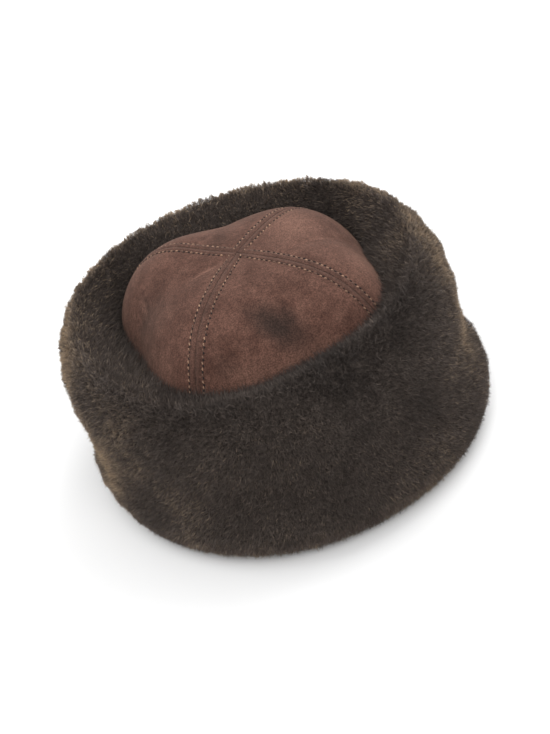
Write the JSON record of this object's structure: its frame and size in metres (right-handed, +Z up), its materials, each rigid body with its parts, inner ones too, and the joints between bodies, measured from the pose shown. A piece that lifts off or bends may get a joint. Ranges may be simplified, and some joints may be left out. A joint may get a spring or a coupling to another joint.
{
  "type": "sheepskin hat",
  "caption": "Round sheepskin hat: a low suede cap sewn from quarter panels with a cross of topstitched seams, inside a tall turned-up cuff of dark sheared fleece.",
  "frame": {"origin": "on the floor, under the middle of the hat", "axes": "+Z up, the wearer faces -Y and the wearer's left is +X"},
  "size_m": [0.2704, 0.2781, 0.1457],
  "materials": {
    "suede": "matte",
    "fleece": "matte"
  },
  "bodies": {
    "root": {"crown_panel_back_left": "suede", "crown_panel_back_right": "suede", "crown_panel_front_right": "suede", "crown_panel_front_left": "suede", "cuff": "fleece"}
  },
  "joints": []
}
